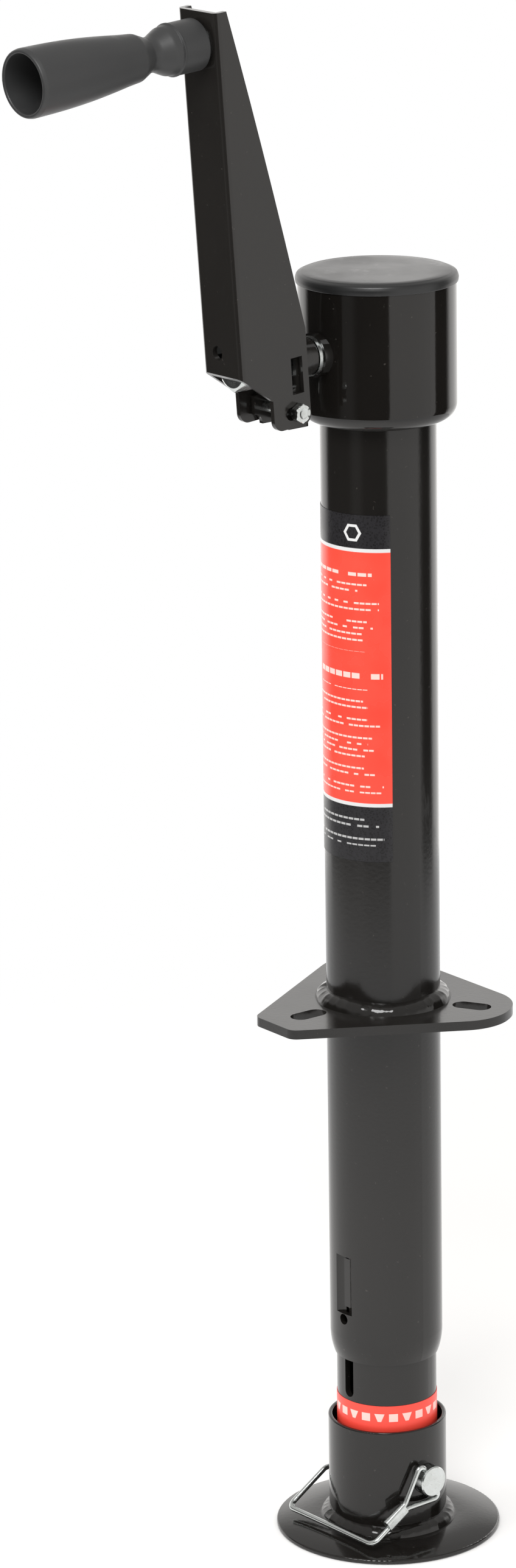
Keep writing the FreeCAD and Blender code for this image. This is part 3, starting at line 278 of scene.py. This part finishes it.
def label_print():
    """Black sticker with a red panel between pale rules, bars for lines and a plain hexagon."""
    base = new_material("label_print")
    shader = base[1]
    across, height = around_tube(shader, LABEL_RADIUS)
    black, red = rgb(24, 23, 24), rgb(247, 60, 46)
    pale, silver = rgb(248, 236, 228), rgb(205, 205, 205)
    cells = shader.add("ShaderNodeTexVoronoi")
    shader.link(shader.position(), cells.inputs["Vector"])
    cells.inputs["Scale"].default_value = 900
    weave = shader.ramp(cells.outputs["Distance"], 0.2, 0.6)
    colour = shader.mix(shader.math("MULTIPLY", weave, 0.5), black, rgb(44, 43, 46))
    cloud = shader.noise(shader.position(), 30, 3)
    panel_red = shader.mix(cloud, red, rgb(255, 76, 58))
    panel = shader.band(height, PANEL_LOW, PANEL_HIGH, 0.15)
    colour = shader.mix(panel, colour, panel_red)
    for edge in (PANEL_LOW, PANEL_HIGH):
        rule = shader.band(height, edge - 0.9, edge + 0.9, 0.15)
        colour = shader.mix(rule, colour, silver)
    for low, high, pitch, thickness, word, seed, ink in LABEL_LINES:
        block = shader.band(height, low, high, 0.1)
        bars = dashes(shader, across, height, pitch, thickness, word, seed)
        ink_mask = shader.math("MULTIPLY", shader.math("MULTIPLY", block, bars), 0.62)
        colour = shader.mix(ink_mask, colour, pale if ink else silver)
    offset = shader.math("SUBTRACT", across, MARK_ACROSS)
    rise = shader.math("SUBTRACT", height, MARK_HEIGHT)
    reach = None
    for turn in (90, 30, -30):
        along = shader.math("MULTIPLY", offset, math.cos(math.radians(turn)))
        side = shader.math("ABSOLUTE", shader.math("ADD", along, shader.math(
            "MULTIPLY", rise, math.sin(math.radians(turn)))))
        reach = side if reach is None else shader.math("MAXIMUM", reach, side)
    colour = shader.mix(shader.band(reach, 2.9, 4.2, 0.12), colour, silver)
    return film(base, shader, colour, 0.22)


def band_print():
    """Red warning film with a row of pale dashes and small wedges."""
    base = new_material("band_print")
    shader = base[1]
    across, height = around_tube(shader, BAND_RADIUS)
    cloud = shader.noise(shader.position(), 40, 3)
    colour = shader.mix(cloud, rgb(240, 64, 52), rgb(252, 82, 66))
    step = shader.math("DIVIDE", across, 7.2)
    within = shader.math("FRACT", step)
    odd = shader.math("FRACT", shader.math("MULTIPLY", shader.math("FLOOR", step), 0.5))
    width = shader.math("ADD", 0.12, shader.math("MULTIPLY", odd, 0.40))
    side = shader.math("ABSOLUTE", shader.math("SUBTRACT", within, 0.5))
    reach = shader.math("DIVIDE", shader.math("SUBTRACT", height, BAND_MIDDLE - 2.2), 4.4)
    slope = shader.math("MULTIPLY", shader.math("SUBTRACT", 0.5, odd), shader.math("MULTIPLY", reach, 0.5))
    inside = shader.ramp(shader.math("SUBTRACT", shader.math("ADD", width, slope), side), -0.01, 0.01)
    tall = shader.band(height, BAND_MIDDLE - 2.1, BAND_MIDDLE + 2.1, 0.12)
    mask = shader.math("MULTIPLY", inside, tall)
    colour = shader.mix(shader.math("MULTIPLY", mask, 0.85), colour, rgb(252, 214, 206))
    return film(base, shader, colour, 0.32)


LABEL_RADIUS = 28.7
LABEL_LOW, LABEL_HIGH = (corner.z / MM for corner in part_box("side_label"))
PANEL_LOW = LABEL_LOW + 29
PANEL_HIGH = LABEL_HIGH - 17.6
MARK_ACROSS = 11
MARK_HEIGHT = LABEL_HIGH - 9
# Blocks of bars: low and high edge, row pitch, bar thickness, bar length, seed, 1 for pale ink.
LABEL_LINES = [
    (PANEL_HIGH - 7.5, PANEL_HIGH - 4.5, 3.0, 0.34, 3.4, 3.0, 1),
    (PANEL_HIGH - 13, PANEL_HIGH - 8.5, 4.6, 0.62, 5.2, 5.0, 1),
    (PANEL_HIGH - 51, PANEL_HIGH - 15, 3.1, 0.30, 3.0, 11.0, 1),
    (PANEL_LOW + 61, PANEL_LOW + 68, 4.6, 0.60, 5.0, 23.0, 1),
    (PANEL_LOW + 6, PANEL_LOW + 59, 3.1, 0.30, 2.8, 31.0, 1),
    (LABEL_LOW + 8, LABEL_LOW + 22, 3.3, 0.32, 3.2, 47.0, 0),
]
BAND_RADIUS = 25.6
BAND_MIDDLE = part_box("limit_band")[1].z / MM - 6.3

PAINT_GLOSS = paint("paint_gloss", 0.07, 15, 0.00002)
PAINT_TUBE = paint("paint_tube", 0.16, 20)
PAINT_ARM = paint("paint_arm", 0.17, 24)
PAINT_WELD = paint("paint_weld", 0.09, 17, 0.00006)
PAINT_PLATE = paint("paint_plate", 0.2, 24)
PAINT_FOOT = paint("paint_foot", 0.1, 17)
ZINC = zinc("zinc_plate", 226, 0.16)
STEEL = zinc("gear_steel", 150, 0.3)
BRASS = brass("brass")
CAP_PLASTIC = plastic("cap_plastic", 24, 0.34, 0.0009, 0.00003)
GRIP_PLASTIC = plastic("grip_plastic", 38, 0.44, 0.0007, 0.00004)

FINISH_OF_SLOT = {
    "black_paint": PAINT_TUBE,
    "zinc": ZINC,
    "gear_steel": STEEL,
    "brass": BRASS,
    "cap_plastic": CAP_PLASTIC,
    "grip_plastic": GRIP_PLASTIC,
}
FINISH_OF_NODE = {
    "gear_housing": PAINT_GLOSS,
    "mount_plate": PAINT_PLATE,
    "yoke_sleeve": PAINT_ARM,
    "yoke_bracket": PAINT_ARM,
    "crank_arm": PAINT_ARM,
    "foot_plate": PAINT_FOOT,
    "foot_socket": PAINT_FOOT,
    "side_label": label_print(),
    "limit_band": band_print(),
}


def finish_cad_nodes():
    for name, node in nodes_of.items():
        material = FINISH_OF_NODE.get(name) or FINISH_OF_SLOT[slot_of[name]]
        node.data.materials.clear()
        node.data.materials.append(material)


# ---- mesh helpers ----

def new_piece(name, mesh, body, slot, material, *stands_for):
    """Links a mesh as a piece, smooth with crisp creases, riding on its body."""
    crease = math.radians(32)
    mesh.shade_smooth()
    mesh.set_sharp_from_angle(angle=crease)
    piece = bpy.data.objects.new(name, mesh)
    bpy.context.scene.collection.objects.link(piece)
    piece.data.materials.append(material)
    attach(piece, body)
    if stands_for:
        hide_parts(*stands_for)
    return piece


def mesh_from_grid(name, rows, close_rows=True, close_columns=True):
    """A mesh of quads over rows of points, in metres, closed round either way."""
    height, width = len(rows), len(rows[0])
    points = [point for row in rows for point in row]
    faces = []
    for i in range(height if close_rows else height - 1):
        for j in range(width if close_columns else width - 1):
            below, after = (i + 1) % height, (j + 1) % width
            faces.append((i * width + j, below * width + j, below * width + after, i * width + after))
    mesh = bpy.data.meshes.new(name)
    mesh.from_pydata(points, [], faces)
    face_outward(mesh)
    return mesh


def face_outward(mesh):
    work = bmesh.new()
    work.from_mesh(mesh)
    bmesh.ops.remove_doubles(work, verts=work.verts, dist=1e-7)
    bmesh.ops.dissolve_degenerate(work, edges=work.edges, dist=1e-8)
    bmesh.ops.recalc_face_normals(work, faces=work.faces)
    work.to_mesh(mesh)
    work.free()


def frame_along(axis, start):
    """A matrix whose Z runs along axis and whose origin is start."""
    turn = Vector(axis).to_track_quat("Z", "Y").to_matrix().to_4x4()
    return Matrix.Translation(start) @ turn


def rounded_outline(corners, steps=6):
    """(radius, height) points in mm; a third number rounds a corner between its neighbours."""
    spots = [Vector(corner[:2]) for corner in corners]
    points = []
    for i, corner in enumerate(corners):
        if len(corner) == 2:
            points.append(spots[i])
            continue
        before, after = spots[i - 1] - spots[i], spots[i + 1] - spots[i]
        half = before.angle(after) / 2
        reach = min(corner[2] / math.tan(half), 0.48 * before.length, 0.48 * after.length)
        radius = reach * math.tan(half)
        before, after = before.normalized(), after.normalized()
        centre = spots[i] + (before + after).normalized() * radius / math.sin(half)
        first, last = spots[i] + before * reach - centre, spots[i] + after * reach - centre
        for k in range(steps + 1):
            points.append(centre + first.slerp(last, k / steps).normalized() * radius)
    return points


def lathe(name, outline, place, segments=160, shape=None):
    """Turns a closed outline about the place matrix's Z; shape moves each point in mm."""
    rows = []
    for i in range(segments):
        angle = 2 * math.pi * i / segments
        row = []
        for radius, height in outline:
            if shape:
                radius, height = shape(radius, height, angle)
            spot = Vector((radius * math.cos(angle), radius * math.sin(angle), height))
            row.append(place @ (spot * MM))
        rows.append(row)
    return mesh_from_grid(name, rows)


# ---- weld beads ----

def weld_bead(name, body, node, tube_radius, ripples, seed):
    """A hand-laid fillet bead: a fat uneven roll with soft, irregular ripples and one restart."""
    low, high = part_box(node)
    outer, base = high.x / MM, low.z / MM
    leg = outer - tube_radius
    segments, across = ripples * 12, 18
    rows = []
    for i in range(segments):
        angle = 2 * math.pi * i / segments
        drift = (0.5 * math.sin(3 * angle + seed) + 0.3 * math.sin(5 * angle + 2 * seed)
                 + 0.25 * math.sin(11 * angle + 3 * seed))
        turn = (angle - seed) % (2 * math.pi) - math.pi
        restart = math.exp(-(turn / 0.11) ** 2)
        here_leg = leg * (0.90 + 0.06 * drift + 0.04 * restart)
        here_rise = leg * (0.88 + 0.08 * math.sin(4 * angle + seed) + 0.10 * restart)
        row = [(tube_radius - 0.3, base - 0.3)]
        for j in range(across + 1):
            share = j / across
            swell = math.sin(math.pi * share)
            lag = (1.1 * (2 * share - 1) ** 2 + 0.9 * math.sin(3 * angle + seed)
                   + 0.6 * math.sin(8 * angle))
            wave = 0.5 + 0.5 * math.cos(ripples * angle + lag)
            weight = 0.4 + 0.6 * abs(math.sin(6.5 * angle + 2 * seed))
            lift = leg * swell * (0.17 + 0.03 * drift + 0.03 * wave ** 2 * weight)
            row.append((tube_radius + min(here_leg * (1 - share) + lift * 0.7, leg),
                        base + min(here_rise * share + lift * 0.7, leg)))
        rows.append([Vector((r * math.cos(angle), r * math.sin(angle), z)) * MM for r, z in row])
    mesh = mesh_from_grid(name, rows)
    return new_piece(name, mesh, body, "black_paint", PAINT_WELD, node)


# ---- cap, grip and fasteners ----

def make_cap():
    """Push-in cap: a low crown with a rolled rim over the drum's edge, and its inner skirt."""
    low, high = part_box("housing_cap")
    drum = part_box("gear_housing")[1]
    radius, top, bottom, seat = (value / MM for value in (high.x, high.z, low.z, drum.z))
    skirt, wall, crown = drum.x / MM - 2.9, 2.2, 0.5
    face = radius - 3.2
    dome = [(face * (1 - k / 8), top - crown * (1 - k / 8) ** 2) for k in range(8)]
    outline = rounded_outline([
        (0.01, seat + 1.4),
        (skirt - wall, seat + 1.4, 1.0),
        (skirt - wall, bottom, 0.5),
        (skirt, bottom, 0.5),
        (skirt, seat, 0.2),
        (radius - 0.3, seat, 0.5),
        (radius, seat + 2.2, 3.0),
        (radius - 0.7, top - 1.5, 1.6),
    ] + [(face + 0.5, top - crown - 0.25, 0.8)] + dome + [(0.01, top)])
    mesh = lathe("housing_cap_moulded", outline, Matrix.Identity(4), 192)
    new_piece("housing_cap_moulded", mesh, "frame", "cap_plastic", CAP_PLASTIC, "housing_cap")


# Where the grip's gate mark is: its angle round the grip and its distance along the axis.
GRIP_SPECK = (2.2, 104)


def make_grip():
    """Hollow turning grip: collar, thin ring, neck, long barrel and an open rounded mouth."""
    joint = joint_of["grip_spin"]
    place = frame_along(Vector(joint["axis"]).normalized(), Vector(joint["pos_m"]))
    collar, neck, shoulder, mouth, bore = 12.5, 8.4, 11.6, 16.45, 4.6
    start, step, waist, barrel, end = 35.4, 50.5, 63.5, 74.5, 137.2
    hollow_root, hollow_start = 9.4, 79.5
    barrel_side = []
    for k in range(1, 13):
        share = k / 13
        radius = shoulder + (mouth - shoulder) * share + 1.15 * math.sin(math.pi * share)
        barrel_side.append((radius, barrel + (end - 3 - barrel) * share))
    outline = rounded_outline([
        (bore, start),
        (collar, start, 0.9),
        (collar, step - 0.5, 0.25),
        (collar + 0.3, step - 0.2, 0.2),
        (collar + 0.3, step + 0.5, 0.2),
        (collar - 0.45, step + 1.1, 0.3),
        (collar - 0.9, step + 4.6, 6),
        (neck, waist - 1.5, 7),
        (neck + 0.1, waist + 1.8, 4),
        (shoulder - 0.1, barrel - 2.6, 5),
    ] + barrel_side + [
        (mouth, end - 2.4, 2),
        (mouth - 0.5, end, 1.2),
        (mouth - 2.3, end, 1.2),
        (mouth - 2.6, end - 4.5, 3),
        (hollow_root, hollow_start, 1.5),
        (bore, hollow_start),
    ])

    def with_seams(radius, height, angle):
        """Two faint moulding seams along the barrel and one small gate mark."""
        if radius > 14.6 or (height < 78 and radius > 8):
            for seam in (0.0, math.pi):
                off = math.sin(angle - seam) * radius
                near = math.cos(angle - seam) > 0 and abs(off) < 1.2
                radius += 0.07 * math.exp(-(off / 0.35) ** 2) if near else 0
            off = angle - GRIP_SPECK[0]
            away = math.hypot(radius * math.sin(off), height - GRIP_SPECK[1])
            if math.cos(off) > 0 and away < 0.9:
                radius += 0.25
        return radius, height

    mesh = lathe("grip_moulded", outline, place, 288, with_seams)
    new_piece("grip_moulded", mesh, "grip", "grip_plastic", GRIP_PLASTIC, "grip")


# The pivot bolt's and nut's size across flats, the head's height, and points round each ring.
BOLT_FLATS = 8.4
BOLT_HEAD = 4.2
BOLT_POINTS = 72


def hex_angles():
    return [2 * math.pi * i / BOLT_POINTS for i in range(BOLT_POINTS)]


def hexagon_block(flats, low, high, chamfer_low, chamfer_high):
    """Rows of (x, y, z) mm for a hexagon with turned chamfers, corners cut by a cone."""
    corner = flats / math.sqrt(3)

    def ring(limit, height):
        row = []
        for angle in hex_angles():
            sector = (angle + math.pi / 6) % (math.pi / 3) - math.pi / 6
            radius = min(flats / 2 / math.cos(sector), limit)
            row.append((radius * math.cos(angle), radius * math.sin(angle), height))
        return row

    def edge(height, inward, chamfer):
        """The chamfered rim: the side's curved border and the flat's round border."""
        side = []
        for x, y, z in ring(corner, height):
            over = math.hypot(x, y) - flats / 2
            side.append((x, y, z + inward * (0.12 + over * chamfer)))
        return side, ring(flats / 2 * 0.985, height)

    low_side, low_flat = edge(low, 1, chamfer_low)
    high_side, high_flat = edge(high, -1, chamfer_high)
    return [low_flat, low_side, high_side, high_flat]


def make_pivot_bolt():
    """Hexagon-head bolt: chamfered head with a dished top, and a ringed shank up to its nut."""
    low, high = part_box("pivot_bolt")
    centre = Vector(joint_of["handle_fold"]["pos_m"])
    place = frame_along((1, 0, 0), Vector((0, centre.y, centre.z)))
    head_top = high.x / MM
    head_low = head_top - BOLT_HEAD
    rows = hexagon_block(BOLT_FLATS, head_low, head_top, 0.15, 0.45)
    shank = 3.15
    start = low.x / MM
    tail = []
    z = start + 0.6
    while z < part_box("pivot_nut")[1].x / MM:
        tail += [(shank - 0.35, z), (shank, z + 0.25), (shank, z + 0.5)]
        z += 1.0
    profile = [(shank - 0.7, start), (shank - 0.35, start + 0.35)] + tail + [(shank, head_low)]
    rings = [[(r * math.cos(a), r * math.sin(a), h) for a in hex_angles()] for r, h in profile]
    dish = [[(r * math.cos(a), r * math.sin(a), h) for a in hex_angles()]
            for r, h in ((2.6, head_top), (2.3, head_top - 0.2), (1.2, head_top - 0.28))]
    grid = [[place @ (Vector(p) * MM) for p in row] for row in rings + rows + dish]
    mesh = capped_grid("pivot_bolt_detailed", grid)
    new_piece("pivot_bolt_detailed", mesh, "crank", "zinc", ZINC, "pivot_bolt")


def capped_grid(name, grid):
    """A grid closed round each row and filled at both ends."""
    mesh = mesh_from_grid(name, grid, close_rows=False)
    work = bmesh.new()
    work.from_mesh(mesh)
    rim = [edge for edge in work.edges if edge.is_boundary]
    bmesh.ops.holes_fill(work, edges=rim, sides=0)
    bmesh.ops.recalc_face_normals(work, faces=work.faces)
    work.to_mesh(mesh)
    work.free()
    return mesh


def make_pivot_nut():
    low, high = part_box("pivot_nut")
    centre = Vector(joint_of["handle_fold"]["pos_m"])
    place = frame_along((1, 0, 0), Vector((0, centre.y, centre.z)))
    bottom, top = low.x / MM, high.x / MM
    rows = hexagon_block(BOLT_FLATS, bottom, top, 0.45, 0.15)
    bore = [[(r * math.cos(a), r * math.sin(a), h) for a in hex_angles()]
            for r, h in ((3.7, top), (3.25, top - 0.5), (3.25, bottom + 0.5), (3.7, bottom))]
    grid = [[place @ (Vector(p) * MM) for p in row] for row in rows + bore]
    mesh = mesh_from_grid("pivot_nut_detailed", grid)
    new_piece("pivot_nut_detailed", mesh, "crank", "zinc", ZINC, "pivot_nut")


# ---- stage, light and camera ----

def make_floor():
    """A pale round floor that fades into the backdrop's white."""
    radius, rings, segments = 1.2, 12, 96
    rows = []
    for i in range(rings + 1):
        out = radius * i / rings
        angles = [2 * math.pi * j / segments for j in range(segments)]
        rows.append([Vector((out * math.cos(a), out * math.sin(a), -0.0002)) for a in angles])
    mesh = mesh_from_grid("floor", rows, close_rows=False)
    if mesh.polygons[0].normal.z < 0:
        mesh.flip_normals()
    floor = bpy.data.objects.new("floor", mesh)
    bpy.context.scene.collection.objects.link(floor)
    material = bpy.data.materials.new("floor_pale")
    shader = Shader(material)
    split = shader.add("ShaderNodeSeparateXYZ")
    shader.link(shader.position(), split.inputs[0])
    squares = shader.math("ADD", shader.math("MULTIPLY", split.outputs["X"], split.outputs["X"]),
                          shader.math("MULTIPLY", split.outputs["Y"], split.outputs["Y"]))
    fade = shader.ramp(shader.math("SQRT", squares), 0.35, 1.0)
    matt = shader.add("ShaderNodeBsdfDiffuse")
    matt.inputs["Color"].default_value = (0.86, 0.86, 0.86, 1)
    glow = shader.add("ShaderNodeEmission")
    mix = shader.add("ShaderNodeMixShader")
    shader.link(fade, mix.inputs[0])
    shader.link(matt.outputs[0], mix.inputs[1])
    shader.link(glow.outputs[0], mix.inputs[2])
    out = shader.add("ShaderNodeOutputMaterial")
    shader.link(mix.outputs[0], out.inputs["Surface"])
    floor.data.materials.append(material)


def make_studio():
    """White backdrop; gloss sees a dim room with a panel to one side and a bright back."""
    world = bpy.data.worlds.new("studio")
    bpy.context.scene.world = world
    shader = Shader(world)
    azimuth = math.radians(CAMERA_AZIMUTH)
    toward = (math.sin(azimuth), -math.cos(azimuth), 0)
    right = (math.cos(azimuth), math.sin(azimuth), 0)
    direction = shader.add("ShaderNodeTexCoord").outputs["Generated"]
    parts = []
    for side in (right, toward):
        dot = shader.add("ShaderNodeVectorMath", operation="DOT_PRODUCT")
        shader.link(direction, dot.inputs[0])
        dot.inputs[1].default_value = side
        parts.append(dot.outputs["Value"])
    turn = shader.math("ARCTAN2", parts[0], parts[1])
    split = shader.add("ShaderNodeSeparateXYZ")
    shader.link(direction, split.inputs[0])
    soft = math.radians(1.5)
    room = 0.03
    for low, high, level, blur in ((17, 92, 1.0, soft), (-56, -34, 0.16, soft * 5)):
        strip = shader.band(turn, math.radians(low), math.radians(high), blur)
        room = shader.math("ADD", room, shader.math("MULTIPLY", strip, level))
    behind = shader.ramp(shader.math("ABSOLUTE", turn), math.radians(116), math.radians(132), 0.0, 1.5)
    room = shader.math("ADD", room, behind)
    overhead = shader.ramp(split.outputs["Z"], 0.28, 0.5)
    low_share = shader.math("SUBTRACT", 1.0, overhead)
    gloss = shader.math("ADD", shader.math("MULTIPLY", room, low_share),
                        shader.math("MULTIPLY", overhead, 0.55))
    rays = shader.add("ShaderNodeLightPath")
    plain = shader.math("SUBTRACT", 1.0, rays.outputs["Is Glossy Ray"])
    level = shader.math("ADD", shader.math("MULTIPLY", gloss, rays.outputs["Is Glossy Ray"]), plain)
    background = shader.add("ShaderNodeBackground")
    background.inputs["Color"].default_value = (1.0, 0.985, 0.965, 1)
    shader.link(level, background.inputs["Strength"])
    clean = shader.add("ShaderNodeBackground")
    clean.inputs["Color"].default_value = (1, 1, 1, 1)
    mix = shader.add("ShaderNodeMixShader")
    shader.link(rays.outputs["Is Camera Ray"], mix.inputs[0])
    shader.link(background.outputs[0], mix.inputs[1])
    shader.link(clean.outputs[0], mix.inputs[2])
    out = shader.add("ShaderNodeOutputWorld")
    shader.link(mix.outputs[0], out.inputs["Surface"])


def softbox(name, azimuth, elevation, distance, size, energy, aim=0.35, in_gloss=True):
    """An area light round the object, turned towards a height on its axis."""
    light = bpy.data.lights.new(name, "AREA")
    light.shape = "DISK"
    light.size = size
    light.energy = energy
    lamp = bpy.data.objects.new(name, light)
    bpy.context.scene.collection.objects.link(lamp)
    turn, tilt = math.radians(azimuth), math.radians(elevation)
    away = Vector((math.sin(turn) * math.cos(tilt), -math.cos(turn) * math.cos(tilt), math.sin(tilt)))
    lamp.location = Vector((0, 0, aim)) + away * distance
    lamp.rotation_mode = "QUATERNION"
    lamp.rotation_quaternion = (-away).to_track_quat("-Z", "Y")
    lamp.visible_glossy = in_gloss


def make_camera():
    data = bpy.data.cameras.new("camera")
    data.lens = CAMERA_LENS
    data.sensor_width = 36
    camera = bpy.data.objects.new("camera", data)
    bpy.context.scene.collection.objects.link(camera)
    azimuth, yaw = math.radians(CAMERA_AZIMUTH), math.radians(CAMERA_YAW)
    pitch, roll = math.radians(CAMERA_PITCH), math.radians(CAMERA_ROLL)
    forward = Vector((math.sin(yaw) * math.cos(pitch), math.cos(yaw) * math.cos(pitch), -math.sin(pitch)))
    right = Vector((math.cos(yaw), -math.sin(yaw), 0))
    up = right.cross(forward)
    across = math.cos(roll) * right + math.sin(roll) * up
    upward = -math.sin(roll) * right + math.cos(roll) * up
    look = Matrix((across, upward, -forward)).transposed().to_4x4()
    round_axis = Matrix.Rotation(azimuth, 4, "Z")
    stand = Matrix.Translation((0, -CAMERA_DISTANCE, CAMERA_HEIGHT))
    camera.matrix_world = round_axis @ stand @ look
    bpy.context.scene.camera = camera


finish_cad_nodes()
weld_bead("plate_weld_bead", "frame", "plate_weld", OUTER_TUBE_RADIUS, 34, 0.7)
weld_bead("foot_weld_bead", "ram", "foot_weld", SOCKET_RADIUS, 38, 2.1)
make_cap()
make_grip()
make_pivot_bolt()
make_pivot_nut()
make_floor()
make_studio()
softbox("front_softbox", CAMERA_AZIMUTH - 8, 52, 1.7, 0.7, 14)
softbox("fill_left", CAMERA_AZIMUTH - 70, 25, 1.8, 1.2, 8, in_gloss=False)
make_camera()
bpy.context.scene.view_settings.view_transform = "Standard"
